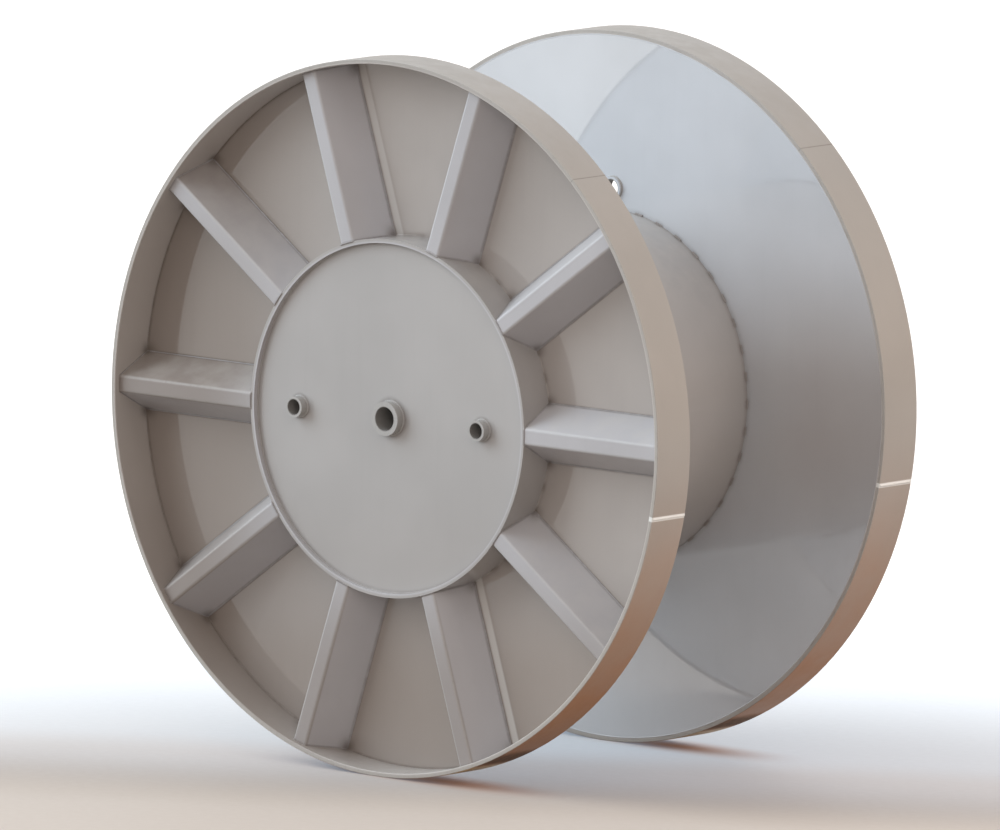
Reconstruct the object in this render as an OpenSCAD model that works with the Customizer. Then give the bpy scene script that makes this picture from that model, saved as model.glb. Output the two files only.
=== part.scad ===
// Welded steel cable drum: two spoked flanges on a closed tubular barrel, with a spindle tube right through.
// The spindle axis is Y, +Z is up and the origin is the middle of the drum. The near flange is at -Y.
// The drum stands on its two hoops, and one pair of spokes on each flange lies level.

/* [Flanges] */
// Outside diameter of the flanges, over the hoops
flange_d = 2400; // [2000:10:2800]
// Width of each rolled hoop along the axis
hoop_w = 166; // [140:1:240]
// Thickness of the hoop
hoop_t = 16; // [8:1:24]
// Bevel on the hoop's four edges
hoop_bevel = 2; // [0.5:0.5:3.5]
// Thickness of the web plate that closes each hoop on the barrel's side
web_t = 8; // [5:1:14]

/* [Barrel] */
// Outside diameter of the barrel
barrel_d = 1200; // [1000:10:1500]
// Wall of the barrel
barrel_t = 14; // [8:1:20]
// Clear winding width between the two web plates
winding_w = 1000; // [600:10:1600]
// Depth of the barrel's ends and the spoke fronts below the hoop's outer edge
end_depth = 22; // [12:1:40]

/* [End discs] */
// Thickness of the disc that closes each end of the barrel
disc_t = 10; // [6:1:16]
// Depth of the disc's face inside the barrel's end
disc_depth = 20; // [8:1:40]

/* [Spokes] */
// Width across the flat front of a folded spoke, between its bends
spoke_front_w = 52; // [40:1:80]
// Width across the foot of a spoke, on the web plate
spoke_foot_w = 196; // [150:1:230]
// Sheet that the spokes are folded from
spoke_t = 6; // [4:1:8]
// Outside radius of the spoke's two bends
spoke_bend_r = 12; // [9:1:16]

/* [Spindle and drive holes] */
// Bore of the spindle tube
spindle_bore_d = 80; // [60:1:100]
// Outside diameter of the spindle tube
spindle_tube_d = 114; // [106:1:160]
// Bore of the drive-pin sleeves
drive_bore_d = 52; // [30:1:62]
// Outside diameter of the drive-pin sleeves
drive_tube_d = 70; // [60:1:100]
// Length of the drive-pin sleeves
drive_tube_l = 120; // [90:1:200]
// Distance of the drive-pin sleeves from the spindle axis
drive_r = 400; // [250:5:500]
// Depth of the tubes' ends below the hoop's outer edge
tube_depth = 10; // [0:1:20]

/* [Cable end hole] */
// Bore of the sleeve that lets the inner end of the cable out through the far web
cable_bore_d = 60; // [30:1:68]
// Outside diameter of that sleeve
cable_tube_d = 76; // [70:1:100]
// Length of that sleeve
cable_tube_l = 40; // [25:1:80]
// Height of that sleeve above the inner face of the web
cable_tube_rise = 12; // [4:1:16]
// Clear distance between that sleeve and the barrel
cable_clear = 32; // [10:1:80]

/* [Welding] */
// Root gap at every curved seat, which the weld fills
weld_gap = 0.2; // [0.1:0.1:0.5]

/* [Hidden] */
$fn = 180;
spoke_n = 10;
bend_steps = 5;
cut = 1;
half_w = winding_w / 2 + hoop_w;
web_face = winding_w / 2 + web_t;
flange_r = flange_d / 2;
hoop_in_r = flange_r - hoop_t;
barrel_r = barrel_d / 2;
barrel_in_r = barrel_r - barrel_t;
barrel_end = half_w - end_depth;
disc_face = barrel_end - disc_depth;
spoke_h = barrel_end - web_face;
spoke_step = 360 / spoke_n;
lean = atan((spoke_foot_w - spoke_front_w) / 2 / spoke_h);
cable_r = barrel_r + cable_clear + cable_tube_d / 2;
paint = [0.70, 0.69, 0.68];
paint_light = [0.74, 0.74, 0.75];
paint_dark = [0.60, 0.58, 0.56];

function spoke_name(side, i) = str("spoke_", side, i < 10 ? "_0" : "_", i);

// A straight piece that starts at the given place on the spindle axis and runs towards +Y
module along_y(start) {
    translate([0, start, 0])
        rotate([-90, 0, 0])
            children();
}

// A straight tube along +Y
module tube(start, length, outer_r, inner_r) {
    along_y(start)
        difference() {
            cylinder(h = length, r = outer_r);
            translate([0, 0, -cut])
                cylinder(h = length + 2 * cut, r = inner_r);
        }
}

// The far flange is the near one turned over
module far() {
    mirror([0, 1, 0])
        children();
}

// Both drive places, either side of the spindle on the level
module at_drives() {
    for (side = [-1, 1])
        translate([side * drive_r, 0, 0])
            children();
}

// Rolled flat bar with bevelled edges, its outer edge at the end of the drum
module rim_hoop() {
    color(paint)
        along_y(-half_w)
            rotate_extrude()
                polygon([
                    [hoop_in_r + hoop_bevel, 0],
                    [flange_r - hoop_bevel, 0],
                    [flange_r, hoop_bevel],
                    [flange_r, hoop_w - hoop_bevel],
                    [flange_r - hoop_bevel, hoop_w],
                    [hoop_in_r + hoop_bevel, hoop_w],
                    [hoop_in_r, hoop_w - hoop_bevel],
                    [hoop_in_r, hoop_bevel]
                ]);
}

// Flat ring between the hoop and the barrel, flush with the hoop's inner edge
module web_plate() {
    color(paint_dark)
        tube(-web_face, web_t, hoop_in_r - weld_gap, barrel_r + weld_gap);
}

// The far web has the hole for the cable end sleeve
module web_plate_with_hole() {
    color(paint_dark)
        difference() {
            far()
                web_plate();
            translate([0, 0, cable_r])
                along_y(winding_w / 2 - cut)
                    cylinder(h = web_t + 2 * cut, r = cable_tube_d / 2 + weld_gap);
        }
}

// One rolled tube that runs through both webs
module barrel_tube() {
    color(paint)
        tube(-barrel_end, 2 * barrel_end, barrel_r, barrel_in_r);
}

// Plate inside the end of the barrel, bored for the spindle tube and the drive sleeves
module end_disc() {
    color(paint_light)
        difference() {
            tube(-disc_face, disc_t, barrel_in_r - weld_gap, spindle_tube_d / 2 + weld_gap);
            at_drives()
                along_y(-disc_face - cut)
                    cylinder(h = disc_t + 2 * cut, r = drive_tube_d / 2 + weld_gap);
        }
}

module spindle_tube() {
    color(paint_light)
        tube(tube_depth - half_w, 2 * (half_w - tube_depth), spindle_tube_d / 2, spindle_bore_d / 2);
}

module drive_sleeve(side) {
    color(paint_light)
        translate([side * drive_r, 0, 0])
            tube(tube_depth - half_w, drive_tube_l, drive_tube_d / 2, drive_bore_d / 2);
}

module cable_end_sleeve() {
    color(paint)
        translate([0, 0, cable_r])
            tube(winding_w / 2 - cable_tube_rise, cable_tube_l, cable_tube_d / 2, cable_bore_d / 2);
}

// Points of one face of the folded sheet, from its right foot over both bends to its left foot
function fold_path(front_half, height, bend_r) =
    let (
        foot_x = front_half + height * tan(lean),
        centre_x = front_half - bend_r * (1 - sin(lean)) / cos(lean),
        centre_y = height - bend_r,
        turns = [for (k = [0 : bend_steps]) lean + (90 - lean) * k / bend_steps],
        bend = [for (a = turns) [centre_x + bend_r * cos(a), centre_y + bend_r * sin(a)]],
        right = concat([[foot_x, 0]], bend)
    )
    concat(right, [for (k = [len(right) - 1 : -1 : 0]) [-right[k][0], right[k][1]]]);

// Folded sheet, open towards the web, with concentric bends
module spoke_section() {
    inner_half = spoke_front_w / 2 - spoke_t * (1 - sin(lean)) / cos(lean);
    outside = fold_path(spoke_front_w / 2, spoke_h, spoke_bend_r);
    inside = fold_path(inner_half, spoke_h - spoke_t, spoke_bend_r - spoke_t);
    polygon(concat(outside, [for (k = [len(inside) - 1 : -1 : 0]) inside[k]]));
}

// Folded spoke on the near web, coped to the barrel at its foot and to the hoop at its tip
module spoke(i) {
    color(paint_light)
        rotate([0, -spoke_step * (i - 1), 0])
            intersection() {
                translate([0, -web_face, 0])
                    rotate(a = 180, v = [1, 0, 1])
                        linear_extrude(height = flange_r)
                            spoke_section();
                tube(-half_w, hoop_w, hoop_in_r - weld_gap, barrel_r + weld_gap);
            }
}

rim_hoop();  // rim_hoop_near
far() rim_hoop();  // rim_hoop_far
web_plate();  // web_plate_near
web_plate_with_hole();  // web_plate_far
barrel_tube();
end_disc();  // end_disc_near
far() end_disc();  // end_disc_far
spindle_tube();
cable_end_sleeve();
drive_sleeve(-1);  // drive_sleeve_near_left
drive_sleeve(1);  // drive_sleeve_near_right
far() drive_sleeve(-1);  // drive_sleeve_far_left
far() drive_sleeve(1);  // drive_sleeve_far_right
for (i = [1 : spoke_n]) {
    spoke(i);
    far() spoke(i);
}
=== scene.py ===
"""Steel cable drum: paint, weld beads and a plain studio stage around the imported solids."""

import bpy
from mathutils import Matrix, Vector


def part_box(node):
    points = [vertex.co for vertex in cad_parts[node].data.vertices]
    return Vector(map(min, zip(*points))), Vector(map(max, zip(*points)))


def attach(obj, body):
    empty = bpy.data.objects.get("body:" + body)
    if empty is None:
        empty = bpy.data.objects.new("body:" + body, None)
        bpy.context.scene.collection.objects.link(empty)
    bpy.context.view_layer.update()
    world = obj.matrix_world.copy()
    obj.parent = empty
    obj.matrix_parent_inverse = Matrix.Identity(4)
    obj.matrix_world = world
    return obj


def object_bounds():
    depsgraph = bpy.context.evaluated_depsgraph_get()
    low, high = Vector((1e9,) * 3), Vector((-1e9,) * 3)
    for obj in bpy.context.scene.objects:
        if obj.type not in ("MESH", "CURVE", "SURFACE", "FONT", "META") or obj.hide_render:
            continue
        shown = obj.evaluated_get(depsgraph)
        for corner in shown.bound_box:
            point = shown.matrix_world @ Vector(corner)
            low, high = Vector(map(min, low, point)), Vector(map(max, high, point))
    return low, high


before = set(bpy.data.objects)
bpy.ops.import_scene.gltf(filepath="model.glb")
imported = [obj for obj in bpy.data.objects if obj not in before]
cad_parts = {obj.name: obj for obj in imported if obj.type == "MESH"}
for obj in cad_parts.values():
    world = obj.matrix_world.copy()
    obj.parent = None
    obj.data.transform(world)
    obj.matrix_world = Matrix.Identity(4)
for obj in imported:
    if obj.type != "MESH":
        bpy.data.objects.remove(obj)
CAD_BOX = [[float(v) for v in corner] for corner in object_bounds()]

import math

import bmesh
import bpy
from bpy.props import FloatProperty, FloatVectorProperty, IntProperty, PointerProperty
from mathutils import Matrix, Vector

bl_info = {
    "name": "Steel cable drum",
    "version": (1, 0, 0),
    "blender": (4, 5, 0),
    "location": "View3D > Sidebar > Cable drum",
    "description": "Paints a welded steel cable drum, lays its weld beads and sets up its stage",
    "category": "Object",
}

BODY = "root"
SIDES = {"near": -1.0, "far": 1.0}
SPOKES = 10
PITCH = 2 * math.pi / SPOKES
# Angle of the spokes beside which the webs carry a painted highlight strip
STRIP_HIGHLIGHT_ANGLE = 8 * PITCH
STITCHES = 41
PICTURE_W = 1000
PICTURE_H = 830


def largest(node, axis):
    """How far a node of the drum reaches from the origin along an axis."""
    low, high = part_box(node)
    return max(abs(low[axis]), abs(high[axis]))


def smallest(node, axis):
    """How near a node of the drum comes to the origin along an axis, on one side of it."""
    low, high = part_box(node)
    return min(abs(low[axis]), abs(high[axis]))


X, Y, Z = 0, 1, 2
RIM_R = largest("rim_hoop_near", X)
RIM_END = largest("rim_hoop_near", Y)
WEB_R = largest("web_plate_near", X)
WEB_INSIDE = smallest("web_plate_near", Y)
WEB_OUTSIDE = largest("web_plate_near", Y)
BARREL_R = largest("barrel_tube", X)
BARREL_END = largest("barrel_tube", Y)
DISC_R = largest("end_disc_near", X)
DISC_FACE = largest("end_disc_near", Y)
SPOKE_FACE = largest("spoke_near_01", Y)
SPOKE_FOOT = largest("spoke_near_01", Z)
SPOKE_FRONT = 0.026
SPINDLE_R = largest("spindle_tube", X)
SPINDLE_BORE = 0.040
DRIVE_LOW, DRIVE_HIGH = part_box("drive_sleeve_near_right")
DRIVE_R = (DRIVE_HIGH.z - DRIVE_LOW.z) / 2
DRIVE_X = (DRIVE_HIGH.x + DRIVE_LOW.x) / 2
DRIVE_BORE = 0.026
CABLE_LOW, CABLE_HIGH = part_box("cable_end_sleeve")
CABLE_R = (CABLE_HIGH.x - CABLE_LOW.x) / 2
CABLE_Z = (CABLE_HIGH.z + CABLE_LOW.z) / 2
CABLE_BORE = 0.030
FLOOR_Z = CAD_BOX[0][2]
FLOOR_R = 45.0
FLOOR_SIDES = 96

# Places of the long welds of hoops and barrel, in metres
HOOP_SEAM_SINK = 0.0042
HOOP_SEAM_MARGIN = 0.003
LONG_SEAM_SINK = 0.0035
LONG_SEAM_HALF = 0.49
LONG_SEAM_ANGLE = math.radians(205.0)
EDGE_WELD_INSET = 0.001
BEAD_RING_STEP = 0.003
STITCH_STEP = 0.006

# Fineness of the paint's patterns: features in a metre
CLOUDS = 2.1
SPECKS = 420.0
STREAKS = (26.0, 26.0, 1.6)
DUST_GRAINS = 14.0
GLOSS_PATCHES = 38.0
DIRT_GRAINS = 46.0
CHIPS = 70.0
SHEET_WAVES = 2.6
PEEL_DIMPLES = 210.0
REFLECTION_PATCHES = 7.0
SCUFF_PATCHES = 3.4
SCRATCHES_ROUND = 5.0
SCRATCHES_ACROSS = 150.0
BEAD_LUMPS = 24.0
FLOOR_CLOUDS = 1.3
FLOOR_GRAINS = 30.0

# Distances of the bumps, as multiples of the heights of waves and peel
WAVE_STRETCH = 6
PEEL_STRETCH = 4

# Where a face begins and is full: a pair of radii, or of distances from the drum's middle along Y
ROLLING_FACE = (RIM_R - 0.0015, RIM_R - 0.0004)
HOOP_INSIDE = (RIM_R - 0.008, RIM_R - 0.015)
HOOP_FRONT = (RIM_END - 0.006, RIM_END - 0.001)
HOOP_BACK = (WEB_INSIDE + 0.004, WEB_INSIDE)
WINDING_FACE = (WEB_INSIDE + 0.005, WEB_INSIDE + 0.003)
BAY_FACE = (WEB_INSIDE + 0.003, WEB_OUTSIDE - 0.002)
PLATE_SKIN = (WEB_OUTSIDE - 0.002, WEB_OUTSIDE - 0.001)
BARREL_MOUTH = (BARREL_R - 0.005, BARREL_R - 0.012)
BARREL_LIP = (BARREL_END - 0.004, BARREL_END)
SPOKE_FLAT = (SPOKE_FACE - 0.010, SPOKE_FACE - 0.004)
SPOKE_BENDS = (SPOKE_FACE - 0.012, SPOKE_FACE - 0.003)
TUBE_ENDS = (DISC_FACE + 0.026, DISC_FACE + 0.031)

# Where the painted shade and the painted brown reflection begin and are full, in metres to the right (X) or
# upwards (Z)
PAINTED_SHADE_LEFT = (-0.30, -0.85)
PAINTED_SHADE_LOW = (-0.30, -0.90)
HOOP_SHADE_LEFT = (0.10, -0.55)
HOOP_SHADE_LOW = (0.0, -0.75)
DISC_SHADE_LOW = (-0.10, -0.60)
SPOKE_SHADE_LOW = (0.85, 0.05)
WINDING_SHADE_RIGHT = (0.40, 0.95)
WINDING_SHADE_MIDDLE = (0.62, 0.05)
REFLECTION_LOW = (0.05, -0.95)
REFLECTION_BOTTOM = (-0.70, -1.05)

# How far dirt, darker corners, the painted highlight strip and the bores reach, in metres
FOOT_DIRT = 0.009
BARREL_DIRT = 0.020
HOOP_DIRT = 0.010
HOOP_LINE = 0.012
SPOKE_DIRT = 0.010
SPOKE_END_DIRT = 0.008
BEND_WEAR_AND_HIGHLIGHT = 0.007
CORNER_DARK_REACH = 0.045
CORNER_BY_BARREL = 0.050
CORNER_BY_HOOP = 0.060
SPINDLE_DIRT = 0.022
DRIVE_DIRT = 0.016
LIP_DIRT = 0.016
STRIP_HIGHLIGHT_OFF = 0.022
STRIP_HIGHLIGHT_HALF = 0.024
BORE_SKIN = 0.003

# Strengths of painted shade, dirt, painted reflections and films, as shares
PAINTED_SHADE_SHARE = 0.74
GRIME_SHARE = 0.55
SCUFF_SHARE = 0.10
CORNER_SHARE = 1.5
LIP_SHARE = 0.6
GLINT_SHARE = 0.8
DARK_BAND_SHARE = 1.6
LOW_SHARE = 0.8
DISC_SHARE = 0.25
FLANK_SHARE = 1.2
WINDING_SHADE_SHARE = 0.8
STREAK_SHADE = 0.985
SPECK_SHADE = 0.955
SPOKE_FILM = 0.3
BAY_FILM = 0.35

# Seams, their painted highlight and the painted reflections low on the hoops, as angles
GLINT_ANGLE = math.radians(-73.0)
DARK_BAND_ANGLE = math.radians(-65.8)
MARK_REACH = 0.10
SEAM_HIGHLIGHT_REACH = 0.011
FLUSH_SEAM_REACH = 0.003

# Tones of the floor, in metres: edges of a pool ahead of the drum and of bands across the line of sight
POOL_AHEAD = 2.2
POOL_EDGE = (2.6, 5.2)
WHITE_EDGE = (4.2, 6.0)
FRONT_EDGE = (2.2, 4.2)
BROWN_BAND = 0.80
BROWN_REACH = 0.68
SHADE_BEHIND = (0.25, -0.25)
SHADE_BEFORE = (0.35, 1.3)

# How far those bands slant aside, as a share
SHADE_SLANT = 0.2

# Brown shade on the floor under the rims
UNDER_SIDE = 0.58
UNDER_WIDTH = 0.15
UNDER_X = 0.25
UNDER_LENGTH = 0.55

# Colours of the dome from its foot to its top, and where the left light is aimed
DOME_GROUND = (0.28, 0.23, 0.19)
DOME_HORIZON = (0.66, 0.595, 0.54)
DOME_LOW_SKY = (0.93, 0.915, 0.90)
DOME_TOP = (0.89, 0.92, 0.96)
LEFT_AIM = (0.0, 0.0, 0.1)
DRUM_CENTRE = (0.0, 0.0, 0.0)


def colour_setting(name, description, default, top=1):
    """A colour that a user may change."""
    return FloatVectorProperty(
        name=name, description=description, subtype="COLOR", size=3, min=0, max=top, default=default)


def bead_setting(name, description, default):
    """The radius of a weld bead."""
    return FloatProperty(
        name=name, description=description, unit="LENGTH", min=0.001, max=0.02, default=default)


def place_setting(name, description, default):
    """The place of a light."""
    return FloatVectorProperty(
        name=name, description=description, subtype="TRANSLATION", unit="LENGTH", size=3, default=default)


def side_setting(name, description, default):
    """The side of a square light."""
    return FloatProperty(name=name, description=description, unit="LENGTH", min=0.1, default=default)


class DrumPaint(bpy.types.PropertyGroup):
    """Colours and gloss of the painted pieces."""

    # The hoops' beige partly stands in for warm surroundings mirrored in them: painted reflection
    hoop: colour_setting("Hoops", "Paint on the two rim hoops", (0.374, 0.344, 0.314))
    # Painted light: the inside of the hoops is painted lighter, raising its shaded face
    hoop_inside: colour_setting("Hoops inside", "Paint inside the rim hoops", (0.50, 0.462, 0.435))
    web: colour_setting("Webs", "Paint on the web plates, on the spokes' side", (0.41, 0.372, 0.35))
    # Painted light: the winding faces are painted lighter and bluer, standing in for the light that falls
    # between the flanges
    web_inside_lit: colour_setting(
        "Winding faces", "Paint on the web plates, on the cable's side", (0.615, 0.645, 0.69))
    barrel: colour_setting("Barrel", "Paint on the barrel", (0.41, 0.39, 0.38))
    disc: colour_setting("End discs", "Paint on the two end discs", (0.435, 0.42, 0.415))
    spoke: colour_setting("Spokes", "Paint on the folded spokes", (0.495, 0.485, 0.503))
    hub: colour_setting("Tubes", "Paint on the spindle tube and the sleeves", (0.38, 0.37, 0.36))
    # Painted highlight: this near-white lies over the real seam beads of the hoops and beside one diameter
    # of spokes
    seam: colour_setting(
        "Touched-up seams", "Pale paint brushed over the ground seams of the hoops", (0.86, 0.86, 0.84))
    grime: colour_setting("Grime", "Dirt that gathers along the welds", (0.13, 0.105, 0.09))
    # Painted shade: this brown-grey darkens the parts that get less light
    painted_shade: colour_setting("Stain", "Brown-grey tone of the weathered paint", (0.235, 0.19, 0.16))
    # Painted shade: this dark grey stands in for the shade inside the bores
    bore_shade: colour_setting("Bores", "Greasy bare steel inside the tubes", (0.275, 0.265, 0.255))
    # Painted reflection: this brown stands in for the ground mirrored low on the rolling faces
    brown_reflection: colour_setting("Mud film", "Brown film low on the rolling faces", (0.44, 0.205, 0.09))
    # Painted reflection: the ochre stands in for the lit floor mirrored by the rolling faces
    ochre_reflection: colour_setting("Ochre patch", "Pale ground dirt by the floor", (0.92, 0.76, 0.40))
    dust: colour_setting("Dust", "Dust on what faces the sky", (0.58, 0.55, 0.51))
    # Rubbed paint; on the hoops' edges and the spokes' bends it also serves as a painted highlight
    rubbed: colour_setting("Rubbed paint", "Paint rubbed pale on the edges", (0.60, 0.585, 0.565))
    roughness: FloatProperty(
        name="Roughness", description="Mean roughness of the paint", min=0, max=1, default=0.34)
    clear: FloatProperty(
        name="Clear gloss", description="Weight of the smooth top film", min=0, max=1, default=1.0)
    peel: FloatProperty(
        name="Orange peel", description="Height of the sprayed paint's orange peel", unit="LENGTH",
        min=0, max=0.002, default=0.00010)
    wave: FloatProperty(
        name="Sheet waves", description="Height of the slow waves in the sheet", unit="LENGTH",
        min=0, max=0.01, default=0.0005)


class DrumWelds(bpy.types.PropertyGroup):
    """Sizes of the weld beads."""

    fillet: bead_setting("Fillet", "Radius of the beads along spokes, webs and hoops", 0.0034)
    ring: bead_setting("Ring bead", "Radius of the beads round discs and tubes", 0.0046)
    stitch: bead_setting("Stitch bead", "Radius of the stitch welds between barrel and webs", 0.0055)
    stitch_length: FloatProperty(
        name="Stitch length", description="Length of one stitch weld", unit="LENGTH",
        min=0.005, max=0.2, default=0.030)
    stitch_count: IntProperty(
        name="Stitches", description="Stitch welds round one end of the barrel",
        min=4, max=120, default=STITCHES)
    # The seam beads are real; the near-white line over them is a painted highlight
    hoop_seam: bead_setting(
        "Hoop seam bead", "Radius of the beads of the hoops' touched-up seams", 0.0072)
    web_edge: bead_setting("Web edge bead", "Radius of the flush beads at the webs' edges", 0.0022)
    long_seam: bead_setting("Barrel seam bead", "Radius of the bead of the barrel's long seam", 0.0055)
    ripple: FloatProperty(
        name="Ripple", description="Length of one ripple of a bead", unit="LENGTH",
        min=0.002, max=0.03, default=0.0085)
    ripple_depth: FloatProperty(
        name="Ripple depth", description="Share of the bead's radius lost between ripples",
        min=0, max=0.8, default=0.22)
    # Where the seam bead and its painted highlight lie
    seam_angle: FloatProperty(
        name="Pale seam", description="Where the hoops' touched-up seam lies", subtype="ANGLE",
        default=math.radians(-10.4))
    flush_angle: FloatProperty(
        name="Flush seam", description="Where the hoops' ground seam lies", subtype="ANGLE",
        default=math.radians(47.2))


class DrumStage(bpy.types.PropertyGroup):
    """Camera, floor and light."""

    azimuth: FloatProperty(
        name="Azimuth", description="Camera's turn from the near flange towards the right",
        subtype="ANGLE", default=math.radians(40.56))
    elevation: FloatProperty(
        name="Elevation", description="Camera's height over the horizon", subtype="ANGLE",
        default=math.radians(7.88))
    roll: FloatProperty(
        name="Roll", description="Camera's turn about its own axis", subtype="ANGLE",
        default=math.radians(0.81))
    distance: FloatProperty(
        name="Distance", description="Camera's distance from the drum", unit="LENGTH", default=100.0)
    scale: FloatProperty(
        name="Picture scale", description="Picture's pixels for a metre at the drum", default=299.7)
    centre: FloatVectorProperty(
        name="Drum in picture", description="Pixel at which the drum's centre is seen", size=2,
        default=(513.1, 400.3))
    floor: colour_setting("Floor", "Pale floor by the drum", (0.47, 0.40, 0.345))
    floor_before: colour_setting(
        "Floor before the drum", "Browner floor before the drum", (0.365, 0.295, 0.24))
    floor_far: colour_setting("Floor far off", "Floor away from the drum", (0.17, 0.145, 0.125))
    floor_under: colour_setting(
        "Floor under the rims", "Brown shade under the rims", (0.33, 0.18, 0.11))
    floor_bounce: FloatProperty(
        name="Floor bounce", description="Share of the floor's colour that lights the drum",
        subtype="FACTOR", min=0, max=1, default=0.68)
    floor_mirrored: FloatProperty(
        name="Floor in the gloss", description="Share of the floor's glow that the gloss mirrors",
        subtype="FACTOR", min=0, max=1, default=0.38)
    glow: colour_setting(
        "Floor glow", "Light of the lit-through floor as the camera sees it", (0.15, 0.185, 0.23))
    glow_before: colour_setting("Glow before", "Light of the floor before the drum", (0.13, 0.13, 0.13))
    glow_behind: colour_setting(
        "Glow behind", "Light of the floor behind the drum", (0.21, 0.28, 0.355))
    glow_under: colour_setting("Glow under", "Light of the floor under the rims", (0.11, 0.065, 0.05))
    glow_far: colour_setting(
        "Glow far off", "Light of the floor away from the drum", (0.90, 1.0, 1.10), top=2)
    softbox: FloatProperty(
        name="Softbox", description="Power of the light high on the left", unit="POWER", default=5300.0)
    softbox_place: place_setting(
        "Softbox place", "Where the light on the left stands", (-16.6, -9.2, 9.6))
    softbox_side: side_setting("Softbox side", "Side of the square light on the left", 19.0)
    softbox_colour: colour_setting(
        "Softbox colour", "Colour of the light on the left", (0.78, 0.91, 1.0))
    fill: FloatProperty(
        name="Fill", description="Power of the warm light on the right", unit="POWER", default=88.0)
    fill_place: place_setting("Fill place", "Where the light on the right stands", (5.0, 1.6, 1.2))
    fill_side: side_setting("Fill side", "Side of the square light on the right", 3.4)
    fill_colour: colour_setting("Fill colour", "Colour of the light on the right", (1.0, 0.91, 0.86))
    front: FloatProperty(
        name="Front", description="Power of the weak light on the right in front",
        unit="POWER", default=72.0)
    front_place: place_setting("Front place", "Where the light in front stands", (5.0, -6.5, 3.0))
    front_side: side_setting("Front side", "Side of the square light in front", 4.0)
    back: FloatProperty(
        name="Back", description="Power of the weak light behind the drum", unit="POWER", default=170.0)
    back_place: place_setting("Back place", "Where the light behind the drum stands", (-3.0, 8.0, 4.0))
    back_side: side_setting("Back side", "Side of the square light behind the drum", 5.0)
    warm_side: colour_setting("Warm side", "Tint of the dome on the right", (1.0, 0.90, 0.82))
    dome: FloatProperty(
        name="Dome", description="Strength of the light all round", min=0, default=0.84)


class Wire:
    """An output socket that can stand in a sum: each operator adds its Math node."""

    def __init__(self, tree, socket):
        self.tree = tree
        self.socket = socket

    @classmethod
    def node(cls, tree, kind, settings=None, values=None, out=0):
        """Adds any node: its settings first, then the values or links of its sockets."""
        made = tree.nodes.new(kind)
        for name, value in (settings or {}).items():
            if name == "stops":
                cls.set_stops(made.color_ramp, value)
            else:
                setattr(made, name, value)
        for key, value in (values or {}).items():
            if isinstance(value, Wire):
                tree.links.new(value.socket, made.inputs[key])
            else:
                made.inputs[key].default_value = value
        return cls(tree, made.outputs[out]) if len(made.outputs) else made

    @staticmethod
    def set_stops(ramp, stops):
        """Gives a colour ramp its stops, as pairs of position and colour."""
        while len(ramp.elements) < len(stops):
            ramp.elements.new(1.0)
        for element, (position, colour) in zip(ramp.elements, stops):
            element.position = position
            element.color = (*colour, 1.0)

    def math(self, operation, other=None, flip=False):
        first, second = (other, self) if flip else (self, other)
        values = {0: first}
        if second is not None:
            values[1] = second
        return Wire.node(self.tree, "ShaderNodeMath", {"operation": operation}, values)

    def __add__(self, other):
        return self.math("ADD", other)

    def __radd__(self, other):
        return self.math("ADD", other, flip=True)

    def __sub__(self, other):
        return self.math("SUBTRACT", other)

    def __rsub__(self, other):
        return self.math("SUBTRACT", other, flip=True)

    def __mul__(self, other):
        return self.math("MULTIPLY", other)

    def __rmul__(self, other):
        return self.math("MULTIPLY", other, flip=True)

    def __truediv__(self, other):
        return self.math("DIVIDE", other)

    def __pow__(self, other):
        return self.math("POWER", other)

    def __abs__(self):
        return self.math("ABSOLUTE")

    def ramp(self, start, stop):
        """0 at start and 1 at stop, with a soft step between them."""
        return Wire.node(self.tree, "ShaderNodeMapRange", {"interpolation_type": "SMOOTHSTEP"},
                         {"Value": self, "From Min": start, "From Max": stop, "To Min": 0.0, "To Max": 1.0})

    def highest(self, other):
        return self.math("MAXIMUM", other)

    def blend(self, first, second):
        """Mixes two colours by this value."""
        values = {"Factor": self}
        for key, colour in ((6, first), (7, second)):
            values[key] = colour if isinstance(colour, Wire) else (*colour, 1.0)
        return Wire.node(self.tree, "ShaderNodeMix", {"data_type": "RGBA"}, values, out=2)

    def shade(self, colour, share):
        """Multiplies a colour by a share where this value is 1."""
        return Wire.node(self.tree, "ShaderNodeMix", {"data_type": "RGBA", "blend_type": "MULTIPLY"},
                         {"Factor": self, 6: colour, 7: (share, share, share, 1.0)}, out=2)


def span(first, second):
    """Length of a step that has two square parts."""
    return (first * first + second * second) ** 0.5


def clouded(cloud, colour, spread=0.05):
    """A colour that is a little darker and a little lighter in soft clouds."""
    return cloud.blend(tuple(Vector(colour) * (1 - spread)), tuple(Vector(colour) * (1 + spread)))


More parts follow.
